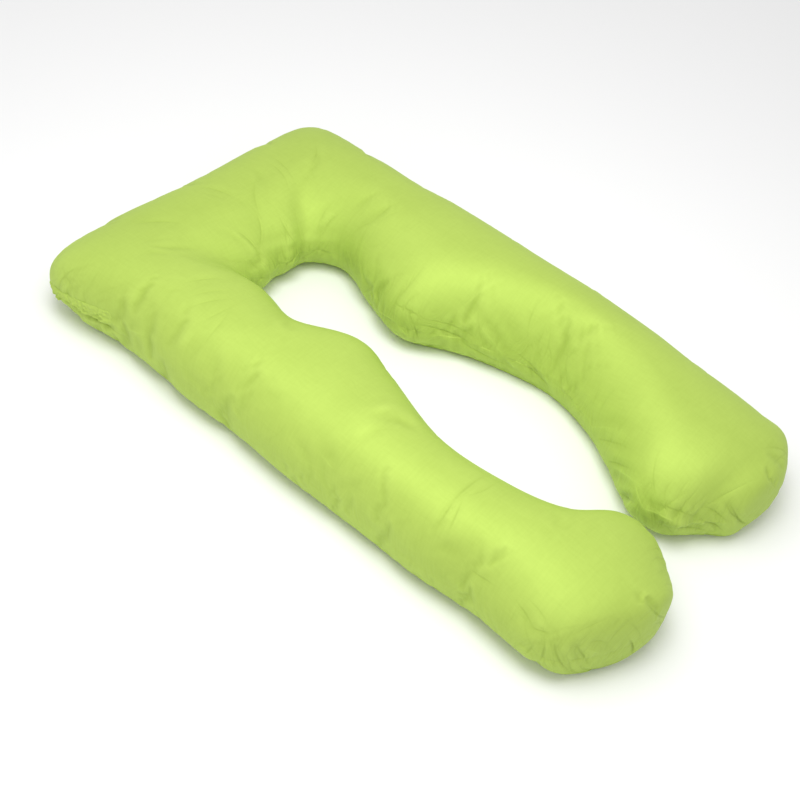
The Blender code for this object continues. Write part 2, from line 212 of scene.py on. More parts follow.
# Creases that are pressed into the cloth after it is inflated.
CREASES = (
    Fold("closure slot", -376, 536, 58, -88, 5, 70, 7, 6.5, 2),
    Fold("closure spot", -374, 632, 60, -104, -33, 10, 6, 3.5),
    Fold("closure end", -371, 474, 62, -90, 0, 7, 6, 3.5),
    Fold("closure upper edge", -374, 590, 84, -88, 6, 40, 6, 1.6, 3),
    Fold("shoulder line", -366, 360, 104, -118, -74, 24, 8, 1.1, 3),
    Fold("shoulder knob", -364, 352, 116, -88, 9, 9, 9, -2.0),
    Fold("shoulder light", -370, 396, 104, -95, 20, 14, 7, -1.6),
    Fold("shoulder hook", -341, 246, 151, 170, -44, 28, 8, 0.7, 4),
    Fold("hook dark", -366, 222, 112, -92, -13, 26, 10, 1.3, -4),
    Fold("arm dimple", -328, 58, 166, -65, 16, 22, 13, 0.8),
    Fold("arm soft dark", -361, -55, 125, -101, -29, 42, 11, 1.8, 4),
    Fold("arm light ridge", -356, -96, 140, -95, -12, 12, 7, -1.3),
    Fold("elbow light", -226, -103, 187, -22, -9, 22, 9, -1.8),
    Fold("elbow pocket", -221, -151, 184, -81, -5, 22, 12, 1.8, 3),
    Fold("elbow crease", -282, -123, 185, -16, 8, 30, 9, 0.8, -5),
    Fold("elbow thin", -262, -140, 186, -38, 0, 24, 7, 0.5, 4),
    Fold("side lump", -356, -157, 134, -67, 40, 24, 9, 1.8),
    Fold("cross line", -250, -318, 184, 179, 3, 42, 5, 1.3),
    Fold("cross line outer", -309, -322, 177, -171, -25, 22, 5, 1.2),
    Fold("cross line second", -305, -338, 177, -161, -24, 26, 5, 1.2),
    Fold("cross line third", -236, -336, 185, 168, 2, 30, 5, 0.9, 5),
    Fold("foot patch", -343, -360, 143, -73, 12, 25, 11, 1.6),
    Fold("foot side line", -342, -434, 134, -87, 4, 17, 6, 1.5),
    Fold("foot arc", -187, -480, 187, 178, 1, 22, 8, 0.7, 6),
    Fold("foot arc outer", -221, -469, 187, 142, 1, 17, 8, 0.6, 4),
    Fold("heel line", -345, -525, 129, -103, -19, 24, 6, 1.3, 2),
    Fold("heel line second", -330, -540, 140, -98, -14, 22, 5, 0.8, 2),
    Fold("heel line low", -347, -560, 123, -72, 11, 14, 6, 1.8),
    Fold("front pleat one", -357, -556, 76, 90, -80, 20, 6, 1.8),
    Fold("front pleat two", -351, -573, 84, -143, -82, 30, 6, 2.2, 5),
    Fold("front pleat three", -336, -603, 80, -57, -64, 36, 6, 2.2, -4),
    Fold("front pleat four", -314, -628, 90, -52, -61, 30, 6, 2.4),
    Fold("front crumple", -300, -643, 92, -36, -35, 16, 7, -1.4),
    Fold("front crumple dark", -290, -640, 110, -30, -20, 18, 6, 1.1, 5),
    Fold("front dark pleat", -222, -668, 62, 2, -67, 28, 6, 4.0, 2),
    Fold("front upper line", -222, -652, 112, 2, -60, 26, 6, 1.2, 3),
    Fold("inner edge line", -165, -663, 106, -12, -51, 46, 6, 2.2, -5),
    Fold("inner edge line low", -165, -672, 76, -1, -51, 30, 6, 2.0, 4),
    Fold("inner edge thin", -120, -654, 112, -18, -46, 24, 5, 0.9, 2),
    Fold("corner thin", -168, 548, 168, -44, 2, 36, 6, 0.8, 3),
    Fold("corner double one", -11, 549, 164, -73, 3, 34, 6, 0.8, 2),
    Fold("corner double two", -30, 540, 165, -70, 2, 28, 5, 0.5, 2),
    Fold("brow ridge", 73, 533, 166, -117, 0, 22, 9, -1.4),
    Fold("brow valley line", 40, 490, 160, -128, -8, 34, 7, 1.4, -4),
    Fold("brow valley line low", -10, 432, 130, -128, -24, 30, 6, 1.4, 4),
    Fold("brow fine one", 142, 518, 167, -103, 0, 44, 6, 0.8, 3),
    Fold("brow fine two", 122, 508, 167, -104, 0, 34, 5, 0.9, 4),
    Fold("brow short", 219, 499, 175, -143, 0, 26, 6, 0.8, 3),
    Fold("rim ridge near", 7, 388, 108, -7, -9, 46, 9, -1.6, 3),
    Fold("rim ridge far", 83, 350, 104, -49, 4, 36, 9, -1.4),
    Fold("ridge to rim near", -59, 423, 132, -75, -33, 44, 8, -1.6, 3),
    Fold("rim line near", -48, 414, 136, -77, -34, 26, 6, 1.6, 3),
    Fold("rim line middle", 44, 392, 134, -88, -34, 22, 5, 1.2, -2),
    Fold("ridge to rim far", 104, 366, 137, -1, 36, 22, 8, -1.6, 2),
    Fold("rim line far", 116, 352, 144, -7, 31, 20, 5, 1.3, 3),
    Fold("far cheek line one", 141, 289, 160, -46, 34, 26, 6, 0.9, 2),
    Fold("far cheek line two", 190, 268, 181, -14, 12, 36, 6, 0.7, 2),
    Fold("far cheek line three", 176, 250, 178, -20, 16, 36, 5, 0.6, 5),
    Fold("near cheek arc", -219, 442, 174, -48, -2, 66, 10, 0.7, 8),
    Fold("near cheek arc low", -146, 368, 158, -35, -27, 32, 7, 1.2, 5),
    Fold("fan one", -225, 351, 182, -28, -5, 30, 6, 0.8, 2),
    Fold("fan two", -248, 318, 185, -28, 0, 28, 5, 0.6, 2),
    Fold("fan three", -268, 300, 184, -26, 5, 34, 6, 0.8, 2),
    Fold("fan four", -274, 267, 182, -12, 8, 32, 6, 0.7, -2),
    Fold("fan five", -291, 245, 178, 11, 14, 32, 6, 0.7, -2),
    Fold("neck zigzag one", 56, 121, 69, -95, 11, 26, 7, -2.4, 3),
    Fold("neck zigzag two", 59, 83, 62, -68, -36, 22, 7, -2.4, -3),
    Fold("neck dark", 69, 61, 67, -64, -70, 15, 6, 3.0),
    Fold("neck upper line", 78, 88, 96, -70, -8, 34, 6, 1.8, 3),
    Fold("neck parallel one", 94, 15, 77, -62, -10, 48, 6, 2.2, 3),
    Fold("neck parallel two", 100, 8, 92, -62, -8, 44, 6, 1.6, 4),
    Fold("neck under", 129, -61, 53, -68, -12, 50, 7, 2.4, -3),
    Fold("long ridge", 132, -65, 93, -74, -34, 50, 8, -2.2, 3),
    Fold("long ridge low", 150, -126, 53, -71, -27, 26, 8, -2.0),
    Fold("bundle one", 159, -176, 55, -81, -22, 34, 6, 2.4, 3),
    Fold("bundle two", 162, -160, 70, -80, -26, 30, 6, 1.8, 3),
    Fold("soft diagonal", 152, -100, 124, -88, -34, 48, 12, 0.9, 4),
    Fold("belly valley top", 204, -214, 162, 159, -35, 44, 12, 1.0, -4),
    Fold("belly valley low", 156, -243, 88, -98, -14, 34, 12, 1.6),
    Fold("belly valley end", 139, -307, 79, -110, 0, 36, 12, 1.4),
    Fold("inner stripe light", 109, -370, 96, -115, 43, 46, 8, -1.8, 3),
    Fold("inner stripe dark", 94, -395, 90, -119, 41, 46, 7, 2.2, 3),
    Fold("inner stripe low", 64, -431, 83, -129, 39, 36, 7, 2.4, 3),
    Fold("far pocket", 33, -476, 56, -128, 39, 28, 7, 3.2),
    Fold("far seam ridge one", 48, -455, 89, -129, 29, 40, 7, -2.2, 3),
    Fold("far seam ridge two", 20, -506, 94, -97, -35, 26, 7, -2.2, -2),
    Fold("far seam ridge three", 29, -551, 80, -64, -6, 28, 7, -2.4, 3),
    Fold("far seam ridge four", 65, -604, 72, -50, -10, 36, 7, -2.2, -3),
    Fold("far seam line", 48, -566, 92, -56, -12, 34, 6, 1.8, 4),
    Fold("far big pocket", 14, -566, 58, -30, -45, 40, 12, 4.0),
    Fold("far under line", 62, -596, 54, -50, -20, 36, 6, 2.8),
    Fold("far pleat one", 87, -629, 62, -60, -30, 24, 6, 3.0, 2),
    Fold("far pleat upper", 92, -622, 92, -60, -30, 26, 6, 1.8, 3),
    Fold("far pleat two", 140, -661, 66, -9, -50, 36, 6, 4.0, -4),
    Fold("far pleat beside", 120, -652, 88, -14, -48, 24, 6, 2.2, -3),
    Fold("far right crease", 261, -638, 145, -33, -31, 28, 7, 1.8, 3),
)

# How the side seam gathers the cloth: most where the outline turns tightly.
GATHERS = (
    Gather("near foot", Seam.OUTER, -330, -640, 110, 0.7, 0.6),
    Gather("near foot inner", Seam.INNER, -60, -600, 90, 0.7, 0.6),
    Gather("far foot", Seam.OUTER, 330, -650, 110, 0.5, 0.6),
    Gather("far foot inner", Seam.INNER, 60, -580, 100, 0.6, -1.2),
    Gather("head space", Seam.INNER, 20, 370, 130, 0.6, 0.0),
    Gather("near cheek", Seam.INNER, -110, 240, 90, 0.5, 0.0),
    Gather("far neck", Seam.INNER, 60, 110, 90, 0.6, 0.3),
    Gather("near neck", Seam.INNER, -70, 80, 80, 0.5, 0.2),
    Gather("far belly", Seam.INNER, 150, -160, 180, 0.5, 0.1),
    Gather("near belly", Seam.INNER, -150, -220, 180, 0.3, 0.1),
    Gather("near head corner", Seam.OUTER, -370, 600, 120, 0.7, 0.5),
    Gather("far head corner", Seam.OUTER, 360, 640, 120, 0.5, 0.2),
    Gather("head edge", Seam.OUTER, 0, 675, 260, 0.3, 0.1),
    Gather("near side", Seam.OUTER, -370, 100, 380, 0.08, 0.1),
    Gather("far side", Seam.OUTER, 375, 0, 480, 0.25, 0.1),
    Gather("near lower side", Seam.OUTER, -365, -350, 220, 0.1, 0.1),
)


# Blender's cloth settings for a cotton that hardly stretches. The weights are two vertex groups.
FIRM_COTTON = {
    "quality": 4, "mass": 0.2, "tension_stiffness": 12, "compression_stiffness": 12,
    "shear_stiffness": 4, "bending_stiffness": 0.4, "use_pressure": True, "shrink_max": 0.0,
    "vertex_group_shrink": "grown", "vertex_group_mass": "held", "pin_stiffness": 1.0}


def resample(values: np.ndarray, count: int, closed: bool) -> np.ndarray:
    """Cubic interpolation of an array along its first axis.

    Args:
        values: the array.
        count: how many entries to return.
        closed: whether the last entry joins the first.

    Returns:
        The array at count even places.
    """
    size = len(values)
    place = np.arange(count) * (size / count) if closed else np.linspace(0, size - 1, count)
    start = np.floor(place).astype(int)
    t = (place - start).reshape(-1, *([1] * (values.ndim - 1)))
    index = [start + k for k in (-1, 0, 1, 2)]
    index = [k % size for k in index] if closed else [np.clip(k, 0, size - 1) for k in index]
    a, b, c, d = (values[k] for k in index)
    return 0.5 * (2 * b + (c - a) * t + (2 * a - 5 * b + 4 * c - d) * t ** 2
                  + (3 * b - a - 3 * c + d) * t ** 3)


def outward(grid: np.ndarray) -> np.ndarray:
    """Unit normals of a tube's grid: the cross product of its two directions, facing out."""
    normal = np.cross(np.roll(grid, -1, axis=1) - np.roll(grid, 1, axis=1), np.gradient(grid, axis=0))
    normal /= np.linalg.norm(normal, axis=2, keepdims=True) + 1e-12
    from_middle = grid - grid.mean(axis=1, keepdims=True)
    return normal * np.sign((normal * from_middle).sum())


def smooth(values: np.ndarray, rounds: int) -> np.ndarray:
    """A tube's values, each moved towards the mean of its four neighbours, several times."""
    for _ in range(rounds):
        ends = np.concatenate([values[:1], values, values[-1:]])
        beside = ends[:-2] + ends[2:] + np.roll(values, 1, axis=1) + np.roll(values, -1, axis=1)
        values = 0.5 * values + 0.125 * beside
    return values


def bell(offset: Any, width: Any) -> Any:
    """A bell curve, 1 at its middle: e to the power of minus the square of offset over width."""
    return np.exp(-(offset / width) ** 2)


def crease_shape(across: np.ndarray, lip: float, lip_middle: float) -> np.ndarray:
    """How deep a crease is across it, in its widths: a bell less a low wide one on its left, the lip."""
    return bell(across, 1.0) - lip * bell(across - lip_middle, LIP_WIDTH)


def waves(place: np.ndarray, pitch: float, rng: np.random.Generator) -> np.ndarray:
    """An uneven ripple: a sum of seven sines whose pitches lie near the given one.

    Args:
        place: where to read it, in metres.
        pitch: the middle distance from crest to crest, in metres.
        rng: the source of the pitches and phases.

    Returns:
        The ripple, about -1 to 1.
    """
    rate = 2 * math.pi / (pitch * rng.uniform(0.62, 1.7, 7))
    phase = rng.uniform(0, 2 * math.pi, 7)
    return sum(np.sin(place * r + p) for r, p in zip(rate, phase)) / 2.6


def link_mesh(name: str, verts: np.ndarray, faces: Sequence[Sequence[int]]) -> bpy.types.Object:
    """A smooth-shaded object at the origin from points and faces."""
    mesh = bpy.data.meshes.new(name)
    mesh.from_pydata(verts.tolist(), [], list(faces))
    mesh.shade_smooth()
    item = bpy.data.objects.new(name, mesh)
    bpy.context.collection.objects.link(item)
    return item


def tube_faces(rings: int, turns: int) -> np.ndarray:
    """Four corners for each face between a ring and the next, with the rings closed."""
    ring, turn = np.meshgrid(np.arange(rings - 1), np.arange(turns), indexing="ij")
    after = (turn + 1) % turns
    corners = [ring * turns + turn, ring * turns + after,
               (ring + 1) * turns + after, (ring + 1) * turns + turn]
    return np.stack(corners, axis=-1).reshape(-1, 4)


@dataclass
class ThinLines:
    """For each point of the cover, the thin line nearest to it.

    Aside is the distance to that line in metres, positive on its left, and depth
    how deep the line is there. The finish draws the line from these two numbers,
    finer than the mesh, as a bump with painted shade and highlight along it.
    """

    aside: np.ndarray
    depth: np.ndarray
    reach: float = 0.005
    share: float = 0.34

    def keep(self, rows: slice, aside: np.ndarray, depth: np.ndarray) -> None:
        """Take over a line's numbers on some rings, where it is deeper than the line kept so far."""
        faded = self.share * depth * bell(aside, self.reach)
        stronger = np.abs(faded) > np.abs(self.depth[rows])
        self.aside[rows] = np.where(stronger, aside, self.aside[rows])
        self.depth[rows] = np.where(stronger, faded, self.depth[rows])


@dataclass
class StuffedCover:
    """The cover with its filling: the tube, its folds, gathers, creases and seam."""

    length: float = 1.356
    width: float = 0.768
    crown: float = 0.19
    rings: int = 780
    top_turns: int = 78
    lower_turns: int = 48
    cloth_share: float = 0.6
    section_round: float = 0.75
    underside_flat: float = 1.3
    seam_pull: float = 0.0008
    seam_spread: float = 0.12
    pull_most: float = 0.1
    foot_detail: float = 0.7
    foot_reach: float = 0.25
    floor_hold: float = 0.03
    fold_reach: float = 0.05
    narrow_below: float = 9.0
    narrow_range: float = 3.0
    left_to_lines: float = 0.45
    tip_hold: float = 0.014
    stitch_width: float = 0.0045
    hollow_full: float = 0.0016
    ripple_pitch: float = 0.019
    ripple_reach: float = 0.04
    gather_lean: float = 0.4
    uneven_pitch: float = 0.09
    ripples: Tuple[Tuple[float, float, float], ...] = (     # how much coarser, lower and further
        (1, 0.8, 0.5), (1.8, 0.8, 1.0), (3.2, 0.9, 1.8))
    wrinkles: int = 155
    wrinkle_length: Tuple[float, float] = (0.012, 0.045)
    wrinkle_width: Tuple[float, float] = (0.0042, 0.0085)
    wrinkle_depth: float = 0.0009
    wrinkle_line: float = 1.6
    frames: int = 20
    pressure: float = 3.0
    growth: float = 0.035
    held_below: float = 0.004
    held_above: float = 0.04
    swell_cap: float = 0.006
    kept_swell: float = 0.25
    seed: int = 7
    loose_all: float = 0.08
    loose_by_seams: float = 0.15
    loose_places: Tuple[Tuple[float, float, float, float], ...] = (     # x, y, spread and share
        (-0.2, -0.66, 0.2, 0.8), (0.2, -0.64, 0.22, 0.8), (0.0, 0.36, 0.16, 0.7),
        (0.06, 0.06, 0.1, 0.5), (0.14, -0.15, 0.13, 0.45), (-0.37, 0.54, 0.12, 0.6))
    grid: Optional[np.ndarray] = field(default=None, repr=False)
    lines: Optional[ThinLines] = field(default=None, repr=False)

    def sections(self, count: int) -> np.ndarray:
        """Sections along the tube, even in distance and closer together at the feet.

        The table's rows are joined by a Catmull-Rom curve, which is then read at
        even steps of its own length.

        Args:
            count: how many sections.

        Returns:
            count rows of the table's numbers after the name, in metres.
        """
        arms = [np.array([row[1:] for row in arm], dtype=float) for arm in (NEAR_ARM, FAR_ARM[::-1])]
        for arm, side in zip(arms, Side):
            arm[:, [0, 2]] *= side.value
        table = np.vstack([arms[0], [HEAD_MIDDLE[1:]], arms[1]]) * MM
        table = np.vstack([2 * table[0] - table[1], table, 2 * table[-1] - table[-2]])
        steps = 40
        rows = resample(table, (len(table) - 1) * steps + 1, closed=False)[steps:-steps]
        middle = (rows[:, 0:2] + rows[:, 2:4]) / 2
        width = np.linalg.norm(rows[:, 0:2] - rows[:, 2:4], axis=1)
        step = np.linalg.norm(np.diff(np.column_stack([middle, rows[:, 4], width]), axis=0), axis=1)
        along = np.concatenate([[0], np.cumsum(step)])
        from_tip = np.minimum(along, along[-1] - along)[1:]
        denser = 1 + self.foot_detail * bell(from_tip, self.foot_reach)
        place = np.concatenate([[0], np.cumsum(step * denser)])
        wanted = np.linspace(0, place[-1], count)
        return np.stack([np.interp(wanted, place, column) for column in rows.T], axis=1)

    def profile(self, turn: np.ndarray, power: Any) -> Tuple[np.ndarray, np.ndarray, np.ndarray]:
        """A section's shape: across from -1 to 1, rise over the seam and fall below it.

        Across and rise are a power of the cosine and the sine: the given one
        above the seams, and the cover's own below. The fall is cut off flat by
        the floor.
        """
        shape = np.where(np.sin(turn) > 0, power, self.section_round)
        across = np.sign(np.cos(turn)) * np.abs(np.cos(turn)) ** shape
        rise = np.maximum(np.sin(turn), 0) ** shape
        fall = np.minimum(1, self.underside_flat * np.maximum(-np.sin(turn), 0))
        return across, rise, fall

    def angles(self, top: int, lower: int) -> np.ndarray:
        """Turns round a section, even in its own length, closer at the seams, sparse below.

        Args:
            top: how many from the outer seam over the top.
            lower: how many from the inner seam along the underside.

        Returns:
            The turns in radians; the first is the outer seam and number top the inner one.
        """
        half, seam, dome = 0.13, 0.065, 0.125       # a usual section, in metres
        closer, beside = 0.9, 0.03                  # by the seams
        flat, sparser = 0.0015, 0.25                # on the underside
        halves: List[np.ndarray] = []
        for start, count in ((0.0, top), (math.pi, lower)):
            fine = np.linspace(start, start + math.pi, 2001)
            across, rise, fall = self.profile(fine, self.section_round)
            x, z = half * across, seam + dome * rise - seam * fall
            step = np.hypot(np.diff(x), np.diff(z))
            height = (z[1:] + z[:-1]) / 2
            weight = 1 + closer * bell(height - seam, beside)
            weight *= np.where(height < flat, sparser, 1)
            place = np.concatenate([[0], np.cumsum(step * weight)])
            halves.append(np.interp(np.linspace(0, place[-1], count, endpoint=False), place, fine))
        return np.concatenate(halves)

    def tube(self, rings: int, top: int, lower: int) -> np.ndarray:
        """The plain tube of cloth: a flattened oval for each section, drawn in at its seams."""
        rows = self.sections(rings)
        turn = self.angles(top, lower)
        beside_outer = (1 + np.cos(turn)) / 2
        power = rows[:, 9:10] + (rows[:, 8:9] - rows[:, 9:10]) * beside_outer
        across, rise, fall = self.profile(turn, power)
        at_seam = bell(np.sin(turn), self.seam_spread)
        outer, inner = rows[:, 0:2], rows[:, 2:4]
        seam = rows[:, 6:7] + (rows[:, 5:6] - rows[:, 6:7]) * beside_outer
        crown, under = rows[:, 4:5], rows[:, 7:8]
        half = (outer - inner) / 2
        reach = np.linalg.norm(half, axis=1)[:, None]
        pull = 1 - np.minimum(self.seam_pull / np.maximum(reach, self.seam_pull), self.pull_most) * at_seam
        plan = ((outer + inner) / 2)[:, None] + half[:, None] * (across * pull)[..., None]
        height = seam + (crown - seam) * rise - (seam - under) * fall
        return np.concatenate([plan, height[..., None]], axis=2)

    def to_size(self, grid: np.ndarray) -> np.ndarray:
        """Centre the plan on the origin and bring the box to length, width and crown."""
        low, high = grid.min(axis=(0, 1)), grid.max(axis=(0, 1))
        middle = np.array([(low[0] + high[0]) / 2, (low[1] + high[1]) / 2, 0])
        return (grid - middle) * np.array([self.width, self.length, self.crown]) / (high - low)

    def off_tips(self, grid: np.ndarray, values: np.ndarray) -> np.ndarray:
        """Values for the points of the cloth, brought down to nothing at both tips."""
        for tip in (grid[0, 0], grid[-1, 0]):
            values = values * np.clip(np.linalg.norm(grid - tip, axis=2) / self.tip_hold, 0, 1)
        return values

    def lift(self, grid: np.ndarray, height: np.ndarray) -> np.ndarray:
        """Move the cloth along its normal, less and less towards the floor and the tips."""
        free = self.off_tips(grid, np.clip(grid[..., 2] / self.floor_hold, 0, 1))
        moved = grid + outward(grid) * (height * free)[..., None]
        moved[..., 2] = np.maximum(moved[..., 2], 0)
        return moved

    def press(self, grid: np.ndarray, folds: Sequence[Fold], lip: float = 0.0) -> np.ndarray:
        """Push the cloth in along each fold: a bell over the fold's length and width.

        Of a narrow crease with a lip, a part is left to the thin lines.

        Args:
            grid: the cloth's points.
            folds: the table of folds.
            lip: height of the low ridge along one side of a crease, as a share of its depth.

        Returns:
            The pressed points.
        """
        height = np.zeros(grid.shape[:2])
        normals = outward(grid).reshape(-1, 3)
        for fold in folds:
            heading, slope = math.radians(fold.heading), math.radians(fold.slope)
            line = np.array([math.cos(heading) * math.cos(slope),
                             math.sin(heading) * math.cos(slope), math.sin(slope)])
            offset = grid - np.array([fold.x, fold.y, fold.z]) * MM
            normal = normals[(offset ** 2).sum(axis=2).argmin()]
            aside = np.cross(normal, line)
            aside /= np.linalg.norm(aside) + 1e-9
            along = offset @ line / (fold.length * MM)
            beside = offset @ aside - fold.bow * MM * (1 - along ** 2)
            off = offset @ normal / self.fold_reach
            depth = fold.depth * MM * np.exp(-along ** 2 - off ** 2)
            across = beside / (fold.width * MM)
            fine = np.clip((self.narrow_below - fold.width) / self.narrow_range, 0, 1) if lip else 0.0
            height -= (1 - self.left_to_lines * fine) * depth * crease_shape(across, lip, 2.2)
            if fine:
                self.lines.keep(slice(None), beside, fine * depth)
        return self.lift(grid, height)

    def stuffed(self, rings: int, top: int, lower: int) -> np.ndarray:
        """The tube with its main folds, as the construction has it, at any fineness."""
        plain = self.to_size(self.tube(rings, top, lower))
        return self.to_size(self.press(plain, FOLDS))

    def seam_line(self, grid: np.ndarray, seam: Seam) -> np.ndarray:
        """The points of one seam, one for each ring."""
        return grid[:, 0 if seam is Seam.OUTER else self.top_turns]

    def seam_distance(self, grid: np.ndarray, seam: Seam) -> Tuple[np.ndarray, np.ndarray]:
        """Arc lengths on the cloth, seen from one seam.

        Returns:
            For each ring how far along the seam it is, and for each point how far
            round its ring from the seam: positive on the top panel, negative below.
        """
        column = 0 if seam is Seam.OUTER else self.top_turns
        line = self.seam_line(grid, seam)
        along = np.concatenate([[0], np.cumsum(np.linalg.norm(np.diff(line, axis=0), axis=1))])
        turned = np.roll(grid, -column, axis=1)
        step = np.linalg.norm(np.roll(turned, -1, axis=1) - turned, axis=2)
        forward = np.concatenate([np.zeros((len(grid), 1)), np.cumsum(step[:, :-1], axis=1)], axis=1)
        distance = np.minimum(forward, step.sum(axis=1, keepdims=True) - forward)
        panel = np.where(np.arange(grid.shape[1]) <= self.top_turns, 1.0, -1.0)
        return along, np.roll(distance, column, axis=1) * panel

    def gathering(self, grid: np.ndarray, seam: Seam, column: str) -> np.ndarray:
        """A number of the gathers' table, in metres, at each ring: the sum of bells along the seam."""
        line = self.seam_line(grid, seam)[:, :2]
        total = np.zeros(len(grid))
        for row in GATHERS:
            if row.seam is seam:
                off = np.linalg.norm(line - np.array([row.x, row.y]) * MM, axis=1)
                total += getattr(row, column) * MM * bell(off, row.spread * MM)
        return total

    def gather(self, grid: np.ndarray) -> np.ndarray:
        """Ripples of the gathered cloth beside both seams.

        There are three ripples, each coarser, lower and further reaching than the
        one before, so that fine gathers run together into soft folds.
        """
        rng = np.random.default_rng(self.seed)
        height = np.zeros(grid.shape[:2])
        for seam in Seam:
            along, distance = self.seam_distance(grid, seam)
            size = self.gathering(grid, seam, "height")[:, None]
            for panel in (1, -1):
                lean = along[:, None] + self.gather_lean * waves(along, 0.13, rng)[:, None] * distance
                here = np.where(distance * panel >= 0, 1.0, 0.0)
                for coarser, lower, further in self.ripples:
                    ripple = waves(lean, self.ripple_pitch * coarser, rng)
                    uneven = 0.6 + 0.4 * waves(along, self.uneven_pitch, rng)[:, None]
                    fade = bell(distance, self.ripple_reach * further)
                    height += here * size * lower * uneven * fade * (ripple - 0.3 * ripple ** 2)
        return self.lift(grid, height)

    def wrinkle(self, grid: np.ndarray) -> np.ndarray:
        """Short creases scattered beside both seams, most of them across the stitching.

        Each is a bell over its length and width in the flat of the cloth, with a
        low ridge along one side. There are more of them, and deeper ones, where
        the seam takes up more cloth.
        """
        rng = np.random.default_rng(self.seed + 1)
        nearest, usual, further = 0.008, 0.045, 0.06    # from the seam
        window = 0.1
        height = np.zeros(grid.shape[:2])
        for seam in Seam:
            along, distance = self.seam_distance(grid, seam)
            size = 0.12 + self.gathering(grid, seam, "height") / MM
            chance = np.gradient(along) * size
            count = int(self.wrinkles * along[-1] / self.length)
            rows = rng.choice(len(grid), size=count, p=chance / chance.sum())
            for row in rows:
                length, width = rng.uniform(*self.wrinkle_length), rng.uniform(*self.wrinkle_width)
                depth = self.wrinkle_depth * min(size[row], 1.4) * rng.uniform(0.3, 1.0)
                panel = rng.choice([1, 1, -1])
                middle = panel * rng.uniform(nearest, usual + further * rng.random())
                lean = rng.normal(0, 0.4)
                bow = rng.normal(0, 0.12) / length
                first, last = np.searchsorted(along, [along[row] - window, along[row] + window])
                aside = along[first:last, None] - along[row]
                out = distance[first:last] - middle
                run = (out * math.cos(lean) + aside * math.sin(lean)) / length
                beside = aside * math.cos(lean) - out * math.sin(lean) - bow * (length * run) ** 2
                here = depth * np.exp(-run ** 2)
                height[first:last] -= here * crease_shape(beside / width, 0.4, 2.1)
                self.lines.keep(slice(first, last), beside, here * self.wrinkle_line)
        return self.lift(grid, height)

    def sew(self, grid: np.ndarray) -> np.ndarray:
        """The seam itself: a narrow line where the two panels meet, puckered by its stitches."""
        rng = np.random.default_rng(self.seed + 2)
        height = np.zeros(grid.shape[:2])
        for seam in Seam:
            along, distance = self.seam_distance(grid, seam)
            depth = self.gathering(grid, seam, "stitch") * (1 + 0.5 * waves(along, 0.02, rng))
            height -= depth[:, None] * bell(distance, self.stitch_width)
        return self.lift(grid, height)

    def inflate(self, rings: int, top: int, lower: int) -> np.ndarray:
        """Wrinkles from the cloth solver, on a coarser tube, as moves of its points.

        The cloth is cut larger than the form it fills, most of all at the loose
        places, so that pressure pushes it into wrinkles. Most of the even
        swelling is taken out again, and no point moves further than the cap.

        Returns:
            The move of each point.
        """
        start = self.stuffed(rings, top, lower)
        pillow = self.closed(start, "cloth_test")
        loose = self.loose_all + self.loose_by_seams * bell(np.sin(self.angles(top, lower)), 0.55)[None, :]
        for x, y, spread, share in self.loose_places:
            off = np.linalg.norm(start[..., :2] - np.array([x, y]), axis=2)
            loose = loose + share * bell(off, spread)
        held = np.where(start[..., 2] < self.held_below, 1.0, self.held_above)
        for name, weights in (("grown", 1 - np.clip(loose, 0, 1)), ("held", held)):
            group = pillow.vertex_groups.new(name=name)
            for index, weight in enumerate(weights[1:-1].ravel()):
                group.add([index], float(weight), "REPLACE")
        cloth = pillow.modifiers.new("stuffing", "CLOTH")
        for name, value in FIRM_COTTON.items():
            setattr(cloth.settings, name, value)
        cloth.settings.uniform_pressure_force = self.pressure
        cloth.settings.shrink_min = -self.growth
        cloth.settings.effector_weights.gravity = 0
        cloth.point_cache.frame_start = 1
        cloth.point_cache.frame_end = self.frames
        scene = bpy.context.scene
        for number in range(1, self.frames + 1):
            scene.frame_set(number)
        shaped = pillow.evaluated_get(bpy.context.evaluated_depsgraph_get())
        flat = np.empty(len(shaped.data.vertices) * 3)
        shaped.data.vertices.foreach_get("co", flat)
        scene.frame_set(1)
        moved = flat.reshape(-1, 3)[:-2].reshape(rings - 2, top + lower, 3) - start[1:-1]
        bpy.data.objects.remove(pillow, do_unlink=True)
        still = np.zeros((1, top + lower, 3))
        move = np.concatenate([still, moved, still])
        move -= (1 - self.kept_swell) * smooth(move, 40)
        size = np.linalg.norm(move, axis=2, keepdims=True)
        LOG.info("cloth moves: mean %.1f mm, most %.1f mm", size.mean() / MM, size.max() / MM)
        return move * self.swell_cap * np.tanh(size / self.swell_cap) / (size + 1e-12)

    def closed(self, grid: np.ndarray, name: str) -> bpy.types.Object:
        """The tube as a closed mesh: its first and last ring are drawn to a point."""
        rings, turns = len(grid) - 2, grid.shape[1]
        tips = np.stack([grid[0].mean(axis=0), grid[-1].mean(axis=0)])
        verts = np.vstack([grid[1:-1].reshape(-1, 3), tips])
        last = (rings - 1) * turns
        turn = np.arange(turns)
        after = (turn + 1) % turns
        near = np.stack([np.full(turns, len(verts) - 2), after, turn], axis=1)
        far = np.stack([np.full(turns, len(verts) - 1), last + turn, last + after], axis=1)
        return link_mesh(name, verts, tube_faces(rings, turns).tolist() + near.tolist() + far.tolist())

